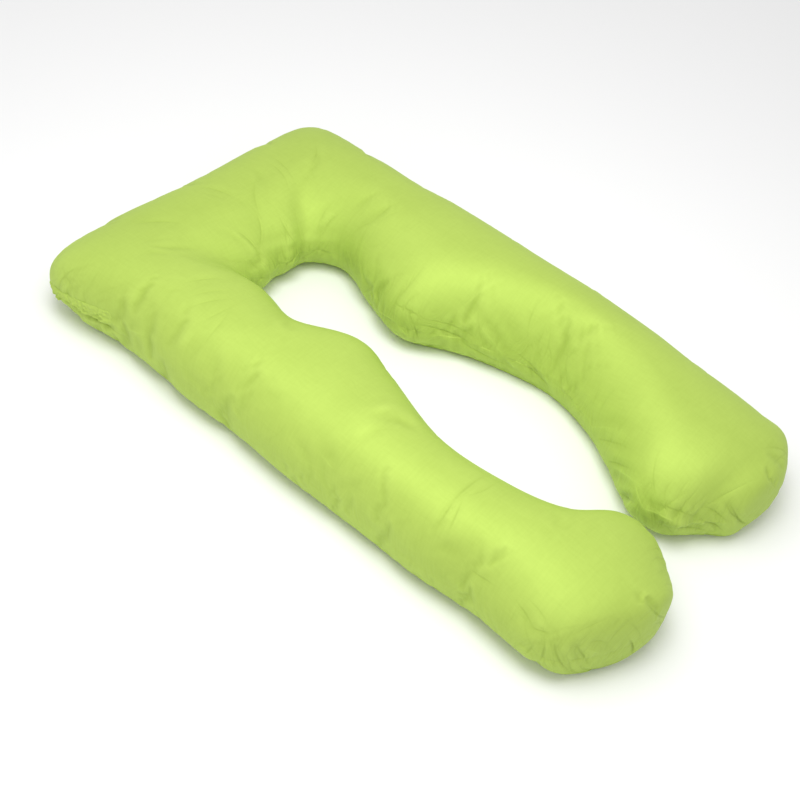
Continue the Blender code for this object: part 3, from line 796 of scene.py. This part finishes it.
    def panel_map(self, item: bpy.types.Object, grid: np.ndarray) -> None:
        """UV of the two cut panels, in metres, so that the weave runs as on the bolt.

        On each ring the crown's middle keeps its place in plan, and the cloth to
        both sides of it is laid out flat at its own length. The lower panel is
        laid out from the middle of the underside in the same way.
        """
        top, turns = self.top_turns, grid.shape[1]
        loop = np.concatenate([grid, grid[:, :1]], axis=1)
        step = np.linalg.norm(np.diff(loop, axis=1), axis=2)
        length = np.concatenate([np.zeros((len(grid), 1)), np.cumsum(step, axis=1)], axis=1)
        across = grid[:, 0, :2] - grid[:, top, :2]
        across /= np.linalg.norm(across, axis=1, keepdims=True) + 1e-9
        plan = (grid[:, 0, :2] + grid[:, top, :2]) / 2
        sheets = []
        for first, last, sign in ((0, top, -1), (top, turns, 1)):
            part = length[:, first:last + 1]
            off_middle = sign * (part - (part[:, :1] + part[:, -1:]) / 2)
            sheets.append(plan[:, None] + off_middle[..., None] * across[:, None])
        left = np.concatenate([sheets[0][:, :-1], sheets[1][:, :-1]], axis=1)[1:-1]
        right = np.concatenate([sheets[0][:, 1:], sheets[1][:, 1:]], axis=1)[1:-1]
        self.store_uv(item, "panels", left, right)

    def gather_map(self, item: bpy.types.Object, grid: np.ndarray) -> None:
        """UV in metres along the nearest seam and away from it, for the finest gathers.

        The inner seam's numbers start far from the outer one's. Across the
        seam the numbers lean to and fro, as gathers do.
        """
        top, turns = self.top_turns, grid.shape[1]
        maps = []
        for seam, start in ((Seam.OUTER, 0.0), (Seam.INNER, 10.0)):
            along, distance = self.seam_distance(grid, seam)
            swing = self.gather_lean * waves(along, 0.11, np.random.default_rng(self.seed + 3))
            maps.append(np.stack([start + along[:, None] + swing[:, None] * distance, distance], axis=2))
        column = np.arange(turns)
        beside_outer = (column < top // 2) | (column >= top + (turns - top) // 2)
        left = np.where(beside_outer[None, :, None], maps[0], maps[1])[1:-1]
        right = np.where(beside_outer[None, :, None], *[np.roll(m, -1, axis=1) for m in maps])[1:-1]
        self.store_uv(item, "gathers", left, right)

    def store_uv(self, item: bpy.types.Object, name: str, left: np.ndarray, right: np.ndarray) -> None:
        """Write a UV map from the two values of each face's sides, in the order of the faces."""
        quads = np.stack([left[:-1], right[:-1], right[1:], left[1:]], axis=2).reshape(-1, 2)
        near = np.stack([(left[0] + right[0]) / 2, right[0], left[0]], axis=1).reshape(-1, 2)
        far = np.stack([(left[-1] + right[-1]) / 2, left[-1], right[-1]], axis=1).reshape(-1, 2)
        layer = item.data.uv_layers.new(name=name)
        layer.data.foreach_set("uv", np.concatenate([quads, near, far]).astype(np.float32).ravel())

    def mark(self, item: bpy.types.Object, name: str, values: np.ndarray) -> None:
        """Store one number for each point of the closed mesh."""
        flat = np.concatenate([values[1:-1].ravel(), [values[0].mean(), values[-1].mean()]])
        layer = item.data.attributes.new(name, "FLOAT", "POINT")
        layer.data.foreach_set("value", flat.astype(np.float32))

    def marks(self, item: bpy.types.Object, grid: np.ndarray) -> None:
        """Store what the finish reads: how hollow, how gathered and how near to a thin line."""
        # The hollow, gathered and thin-line marks also drive painted shade and highlight in the cover's
        # colour.
        inside = ((smooth(grid, 12) - grid) * outward(grid)).sum(axis=2)
        free = self.off_tips(grid, np.ones(grid.shape[:2]))
        gathered = np.zeros(grid.shape[:2])
        for seam in Seam:
            distance = self.seam_distance(grid, seam)[1]
            size = 0.25 + self.gathering(grid, seam, "height") / MM
            gathered += size[:, None] * bell(distance, self.ripple_reach)
        self.mark(item, "hollow", np.clip(inside / self.hollow_full, -1, 1) * free)
        self.mark(item, "gathered", np.clip(gathered, 0, 1.2) * free)
        self.mark(item, "line_aside", self.lines.aside / MM)
        self.mark(item, "line_depth", self.lines.depth / MM * free)

    def simulated(self, grid: np.ndarray) -> np.ndarray:
        """The cloth with the solver's wrinkles, which are brought to its own number of points."""
        counts = (self.rings, self.top_turns, self.lower_turns)
        move = resample(self.inflate(*[int(count * self.cloth_share) for count in counts]),
                        self.rings, closed=False)
        grid = grid + resample(move.swapaxes(0, 1), grid.shape[1], closed=True).swapaxes(0, 1)
        grid[..., 2] = np.maximum(grid[..., 2], 0)
        return grid

    def build(self) -> bpy.types.Object:
        """Shape the cover and make its mesh, with the maps and marks that its finish reads."""
        grid = self.stuffed(self.rings, self.top_turns, self.lower_turns)
        grid = self.simulated(grid)
        self.lines = ThinLines(np.ones(grid.shape[:2]), np.zeros(grid.shape[:2]))
        grid = self.press(grid, CREASES, lip=0.45)
        grid = self.wrinkle(self.gather(grid))
        self.grid = self.to_size(self.sew(grid))
        item = self.closed(self.grid, "pillow_cover")
        self.panel_map(item, self.grid)
        self.gather_map(item, self.grid)
        self.marks(item, self.grid)
        return item


class Strand(NamedTuple):
    """A crumpled strand of the placket: its place up and its width, in strip heights, and its size."""

    up: float
    width: float
    size: float


@dataclass
class ClosurePlacket:
    """The folded strip over the closure: crumpled cloth whose lower edge stands out."""

    start: float = 0.645
    end: float = 0.462
    height: float = 0.03
    raised: float = 0.005
    slant: float = 0.024
    thick: float = 0.0016
    overhang: float = 0.003
    strand_rise: float = 0.0042
    wander: float = 0.1
    wander_pitch: float = 0.045
    crumple_pitch: float = 0.016
    fine_rise: float = 0.0006
    fine_pitch: float = 0.0075
    edge_up: float = -0.42
    edge_width: float = 0.16
    gap: float = 0.0008
    end_fade: float = 0.12
    steps: int = 170
    bands: int = 30
    side_from: float = 0.25
    columns: int = 16
    seed: int = 11
    strands: Tuple[Strand, ...] = (Strand(-0.33, 0.1, 1.0), Strand(-0.11, 0.08, 0.8),
                                   Strand(0.11, 0.09, 0.75), Strand(0.33, 0.1, 0.6))

    def side(self, cover: StuffedCover, y: np.ndarray) -> Tuple[np.ndarray, np.ndarray]:
        """The cover's side beside the strip: x and z of the columns near the seam at each y."""
        lines = []
        for column in range(-self.columns, self.columns + 1):
            line = cover.grid[:len(cover.grid) // 2, column]
            line = line[(line[:, 0] < -self.side_from) & (line[:, 1] > 0)]
            lines.append([np.interp(y, line[:, 1], line[:, 0]), np.interp(y, line[:, 1], line[:, 2])])
        side_x, side_z = np.array(lines).swapaxes(0, 1)
        return side_x, side_z

    def relief(self, place: np.ndarray, up: np.ndarray) -> np.ndarray:
        """How far the crumpled strands stand out.

        They wander along the strip. Each is a bell across it, whose middle and
        height are uneven ripples of the length, and finer ripples lie on them.

        Args:
            place: metres along the strip, as a column.
            up: heights on the strip from -0.5 to 0.5, as a row.

        Returns:
            The relief in metres at each place and height.
        """
        rng = np.random.default_rng(self.seed)
        rise = np.zeros((len(place), up.shape[1]))
        for strand in self.strands:
            middle = strand.up + self.wander * waves(place, self.wander_pitch, rng)
            swell = 0.65 + 0.35 * waves(place + 0.02 * up, self.crumple_pitch, rng)
            rise += self.strand_rise * strand.size * swell * bell(up - middle, strand.width)
        return rise + self.fine_rise * waves(place + 0.012 * up, self.fine_pitch, rng)

    def build(self, cover: StuffedCover) -> bpy.types.Object:
        """A closed strip that follows the cover's side, with its strands and its overhanging edge.

        Args:
            cover: the finished cover, whose side the strip lies on.

        Returns:
            The strip's object.
        """
        y = np.linspace(self.start, self.end, self.steps)
        along = np.linspace(0, 1, self.steps)[:, None]
        up = np.linspace(-0.5, 0.5, self.bands)[None]
        side_x, side_z = self.side(cover, y)
        middle = side_z[self.columns][:, None] + self.raised + self.slant * (along - 0.5)
        z = middle + self.height * up
        surface = np.array([np.interp(z[k], side_z[:, k], side_x[:, k]) for k in range(self.steps)])
        bridge = surface[:, :1] + (surface[:, -1:] - surface[:, :1]) * (up + 0.5)
        back = np.minimum(surface, bridge) + self.gap
        rise = self.relief(along * (self.start - self.end), up)
        rim = np.sqrt(np.maximum(1 - (2 * up) ** 6, 0))
        ends = np.clip(np.minimum(along, 1 - along) / self.end_fade, 0, 1) ** 0.7
        overhang = self.overhang * bell(up - self.edge_up, self.edge_width)
        face = back - (self.gap + self.thick * rim + (rise + overhang) * rim) * ends
        across = np.broadcast_to(y[:, None], z.shape)
        loop = np.concatenate([np.stack([back, across, z], axis=2),
                               np.stack([face, across, z], axis=2)[:, ::-1]], axis=1)
        verts = loop.reshape(-1, 3)
        turns = loop.shape[1]
        faces = tube_faces(self.steps, turns).tolist()
        faces += [list(range(turns))[::-1], list(range(len(verts) - turns, len(verts)))]
        return link_mesh("placket_fold", verts, faces)


def linear(colour: str) -> Tuple[float, float, float, float]:
    """An sRGB hex colour as linear red, green, blue and alpha."""
    channels = [int(colour[k:k + 2], 16) / 255 for k in (0, 2, 4)]
    return (*[c / 12.92 if c <= 0.04045 else ((c + 0.055) / 1.055) ** 2.4 for c in channels], 1.0)


def add_node(tree: bpy.types.NodeTree, kind: str, inputs: Dict[Any, Any], **settings: Any) -> bpy.types.Node:
    """Add one node.

    Args:
        tree: the material's node tree.
        kind: the node's type.
        inputs: by name or number, the socket to link or the value to set.
        settings: the node's own properties.

    Returns:
        The node.
    """
    node = tree.nodes.new(kind)
    for name, value in settings.items():
        setattr(node, name, value)
    for name, value in inputs.items():
        if isinstance(value, bpy.types.NodeSocket):
            tree.links.new(value, node.inputs[name])
        else:
            node.inputs[name].default_value = value
    return node


@dataclass(frozen=True)
class WovenCotton:
    """Plain-woven cotton sheeting, piece-dyed and calendered: soft, with a faint satin bloom.

    To the eye it is one even colour with a faint cross-hatch of slubs and a broad
    soft light on what faces the lamp. Shade is painted into its hollows, creases
    and gathers, and highlight onto bumps, ridges, the creases' lips and the gathers' crests.
    """

    name: str
    colour: str
    # darker colour: random mottling, and painted shade in hollows, creases and gathers, mix towards it
    mottle_and_painted_shade_colour: str
    thread_mm: float = 1.8      # real threads are 0.35 mm apart: drawn coarser, so that they show
    slub_mm: float = 5.0
    crumple_mm: float = 26.0
    gather_mm: float = 6.5
    gather_run_mm: float = 45.0
    line_mm: float = 2.0
    weave_depth: float = 0.0001
    crumple_depth: float = 0.0011
    gather_depth: float = 0.0034
    cloud_tone: float = 0.2
    slub_tone: float = 0.15
    # painted shade and highlight: how far the hollows, thin lines and gathers move the colour
    hollow_painted_shade: float = 0.22
    line_painted_shade_and_highlight: float = -0.35
    gather_painted_shade_and_highlight: float = -0.6
    bloom: float = 0.16         # as metallic: the nap's own colour in the light that it throws back
    roughness: float = 0.58
    sheen_colour: str = "D8F290"

    def crumples(self, tree: bpy.types.NodeTree, body: bpy.types.NodeSocket) -> bpy.types.NodeSocket:
        """Shallow creases at random, as crossed ridges of noise in the cloth's own space."""
        return add_node(tree, "ShaderNodeTexNoise", {
            "Vector": body, "Scale": 1000 / self.crumple_mm, "Detail": 4.0, "Roughness": 0.55,
            "Distortion": 0.9}, noise_type="RIDGED_MULTIFRACTAL").outputs["Fac"]

    def gathers(self, tree: bpy.types.NodeTree) -> bpy.types.NodeSocket:
        """The finest gathers: noise about zero, drawn out across the seam, as high as the mark says."""
        seam = add_node(tree, "ShaderNodeUVMap", {}, uv_map="gathers").outputs["UV"]
        scaled = add_node(tree, "ShaderNodeMapping", {
            "Vector": seam, "Scale": (1000 / self.gather_mm, 1000 / self.gather_run_mm, 1.0)})
        fine = add_node(tree, "ShaderNodeTexNoise", {
            "Vector": scaled.outputs[0], "Scale": 1.0, "Detail": 2.0, "Distortion": 0.35})
        mark = add_node(tree, "ShaderNodeAttribute", {}, attribute_name="gathered")
        level = add_node(tree, "ShaderNodeMath", {0: fine.outputs["Fac"], 1: 0.5}, operation="SUBTRACT")
        return add_node(tree, "ShaderNodeMath", {
            0: level.outputs[0], 1: mark.outputs["Fac"]}, operation="MULTIPLY").outputs[0]

    def thin_lines(self, tree: bpy.types.NodeTree) -> bpy.types.NodeSocket:
        """Creases finer than the mesh, in millimetres: a narrow bell with a low ridge on its left."""
        aside = add_node(tree, "ShaderNodeAttribute", {}, attribute_name="line_aside").outputs["Fac"]
        depth = add_node(tree, "ShaderNodeAttribute", {}, attribute_name="line_depth").outputs["Fac"]
        bells = []
        for middle, width in ((0.0, self.line_mm), (2.0 * self.line_mm, 1.2 * self.line_mm)):
            off = add_node(tree, "ShaderNodeMath", {0: aside, 1: middle}, operation="SUBTRACT").outputs[0]
            square = add_node(tree, "ShaderNodeMath", {0: off, 1: off}, operation="MULTIPLY").outputs[0]
            power = add_node(tree, "ShaderNodeMath", {0: square, 1: -1 / width ** 2}, operation="MULTIPLY")
            bells.append(add_node(tree, "ShaderNodeMath", {0: power.outputs[0]}, operation="EXPONENT"))
        shape = add_node(tree, "ShaderNodeMath", {0: bells[1].outputs[0], 1: 0.5}, operation="MULTIPLY")
        shape = add_node(tree, "ShaderNodeMath", {0: shape.outputs[0], 1: bells[0].outputs[0]},
                         operation="SUBTRACT")
        return add_node(tree, "ShaderNodeMath", {
            0: shape.outputs[0], 1: depth}, operation="MULTIPLY").outputs[0]

    def material(self, on_panels: bool) -> bpy.types.Material:
        """The node material.

        Args:
            on_panels: whether the piece has the panels' UV map and its own attributes.

        Returns:
            The material.
        """
        material = bpy.data.materials.new(self.name)
        material.use_nodes = True
        tree = material.node_tree
        shader = tree.nodes["Principled BSDF"]
        body = add_node(tree, "ShaderNodeTexCoord", {}).outputs["Object"]
        where = body
        if on_panels:
            where = add_node(tree, "ShaderNodeUVMap", {}, uv_map="panels").outputs["UV"]
        cloud = add_node(tree, "ShaderNodeTexNoise", {"Vector": body, "Scale": 9.0, "Detail": 3.0})
        slubs = []
        for stretch in ((1.0, 0.16, 1.0), (0.16, 1.0, 1.0)):
            lay = add_node(tree, "ShaderNodeMapping", {"Vector": where, "Scale": stretch})
            slubs.append(add_node(tree, "ShaderNodeTexNoise", {
                "Vector": lay.outputs[0], "Scale": 1000 / self.slub_mm, "Detail": 2.0}))
        slub = add_node(tree, "ShaderNodeMath", {
            0: slubs[0].outputs["Fac"], 1: slubs[1].outputs["Fac"]}, operation="ADD")
        threads = []
        for direction in ("X", "Y"):
            threads.append(add_node(tree, "ShaderNodeTexWave", {
                "Vector": where, "Scale": 2 * math.pi / 20 * 1000 / self.thread_mm, "Distortion": 0.6,
                "Detail": 1.0, "Detail Scale": 2.0}, bands_direction=direction))
        weave = add_node(tree, "ShaderNodeMath", {
            0: threads[0].outputs["Fac"], 1: threads[1].outputs["Fac"]}, operation="MULTIPLY")
        # random mottling from the cloud and the slubs
        tone = add_node(tree, "ShaderNodeMath", {
            0: cloud.outputs["Fac"], 1: self.cloud_tone}, operation="MULTIPLY")
        tone = add_node(tree, "ShaderNodeMath", {
            0: slub.outputs[0], 1: self.slub_tone, 2: tone.outputs[0]}, operation="MULTIPLY_ADD")
        # Painted shade: hollows, thin-line troughs and gather hollows darken the colour; bumps, ridges, lips
        # and gather crests lighten it as painted highlight.
        if on_panels:
            hollow = add_node(tree, "ShaderNodeAttribute", {}, attribute_name="hollow")
            lines, gathers = self.thin_lines(tree), self.gathers(tree)
            for height, share in ((hollow.outputs["Fac"], self.hollow_painted_shade), (lines, self.line_painted_shade_and_highlight),
                                  (gathers, self.gather_painted_shade_and_highlight)):
                tone = add_node(tree, "ShaderNodeMath", {
                    0: height, 1: share, 2: tone.outputs[0]}, operation="MULTIPLY_ADD")
        mix = add_node(tree, "ShaderNodeMix", {
            "Factor": tone.outputs[0], 6: linear(self.colour), 7: linear(self.mottle_and_painted_shade_colour)},
            data_type="RGBA", clamp_factor=True)
        tree.links.new(mix.outputs[2], shader.inputs["Base Color"])
        reliefs = [(weave.outputs[0], 0.5, self.weave_depth),
                   (slub.outputs[0], 0.5, self.weave_depth * 2),
                   (self.crumples(tree, body), 0.25, self.crumple_depth)]
        if on_panels:
            reliefs += [(gathers, 0.8, self.gather_depth), (lines, 1.0, MM)]
        below: Dict[str, Any] = {}
        for height, strength, depth in reliefs:
            bump = add_node(tree, "ShaderNodeBump", {
                "Height": height, "Strength": strength, "Distance": depth, **below})
            below = {"Normal": bump.outputs[0]}
        tree.links.new(bump.outputs[0], shader.inputs["Normal"])
        shader.inputs["Metallic"].default_value = self.bloom
        shader.inputs["Roughness"].default_value = self.roughness
        shader.inputs["Specular IOR Level"].default_value = 0.5
        shader.inputs["Specular Tint"].default_value = linear(self.sheen_colour)
        return material


# The second colour is the darker one: random mottling, and on the cover painted shade as well.
LIME_COTTON = WovenCotton("lime_cotton_sheeting", "BAD365", "8AA239")
LIME_PLACKET = WovenCotton("lime_cotton_placket", "C0D96A", "8AA239", crumple_mm=12.0)


class Lamp(NamedTuple):
    """A round soft light that faces the pillow: its place and size in metres and its watts."""

    name: str
    x: float
    y: float
    z: float
    size: float
    power: float


@dataclass
class Studio:
    """A pale floor, two large soft lights overhead, and the photograph's camera."""

    azimuth: float = -54.26
    elevation: float = 46.72
    roll: float = 8.46
    distance: float = 2.4
    target: Tuple[float, float, float] = (-0.108, -0.0517, 0.083)
    lens: float = 58.1
    lamps: Tuple[Lamp, ...] = (Lamp("key", -0.8, -0.2, 4.2, 2.0, 54.0),
                               Lamp("softbox", -0.35, -0.05, 1.4, 1.2, 8.5))
    sky: float = 0.65

    def camera(self) -> None:
        """Put the camera at the photograph's angle: its back, right and up from three turns."""
        a, e, r = (math.radians(v) for v in (self.azimuth, self.elevation, self.roll))
        back = Vector((math.sin(a) * math.cos(e), -math.cos(a) * math.cos(e), math.sin(e)))
        level = Vector((math.cos(a), math.sin(a), 0))
        above = back.cross(level)
        right = math.cos(r) * level + math.sin(r) * above
        up = math.cos(r) * above - math.sin(r) * level
        data = bpy.data.cameras.new("photo_view")
        data.lens = self.lens
        data.sensor_width = 36.0
        item = bpy.data.objects.new("photo_view", data)
        bpy.context.collection.objects.link(item)
        turn = Matrix((right, up, back)).transposed().to_4x4()
        item.matrix_world = Matrix.Translation(Vector(self.target) + back * self.distance) @ turn
        bpy.context.scene.camera = item

    def lights(self) -> None:
        """The lamps and an even pale sky."""
        for lamp in self.lamps:
            data = bpy.data.lights.new(lamp.name, "AREA")
            data.shape = "DISK"
            data.size = lamp.size
            data.energy = lamp.power
            item = bpy.data.objects.new(lamp.name, data)
            item.location = lamp[1:4]
            item.rotation_euler = (-item.location).to_track_quat("-Z", "Y").to_euler()
            bpy.context.collection.objects.link(item)
        world = bpy.data.worlds.new("studio")
        world.use_nodes = True
        background = world.node_tree.nodes["Background"]
        background.inputs["Color"].default_value = (1, 1, 1, 1)
        background.inputs["Strength"].default_value = self.sky
        bpy.context.scene.world = world
        bpy.context.scene.view_settings.view_transform = "Standard"

    def floor(self) -> None:
        """A wide, plain, pale floor just under the pillow."""
        reach, drop = 9.0, 0.0004
        corners = np.array([(-reach, -reach, -drop), (reach, -reach, -drop),
                            (reach, reach, -drop), (-reach, reach, -drop)])
        item = link_mesh("floor", corners, [(0, 1, 2, 3)])
        material = bpy.data.materials.new("pale_floor")
        material.use_nodes = True
        shader = material.node_tree.nodes["Principled BSDF"]
        shader.inputs["Base Color"].default_value = linear("FAFAFA")
        shader.inputs["Roughness"].default_value = 0.9
        item.data.materials.append(material)


def main() -> None:
    """Build the pieces in order."""
    logging.basicConfig(level=logging.INFO, format="%(message)s")
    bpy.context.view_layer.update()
    cover = StuffedCover()
    body = cover.build()
    body.data.materials.append(LIME_COTTON.material(on_panels=True))
    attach(body, BODY)
    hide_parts("pillow")
    LOG.info("cover: %d faces", len(body.data.polygons))
    strip = ClosurePlacket().build(cover)
    strip.data.materials.append(LIME_PLACKET.material(on_panels=False))
    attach(strip, BODY)
    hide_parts("closure_placket")
    LOG.info("placket: %d faces", len(strip.data.polygons))
    studio = Studio()
    studio.camera()
    studio.lights()
    studio.floor()


if __name__ == "__main__":
    main()
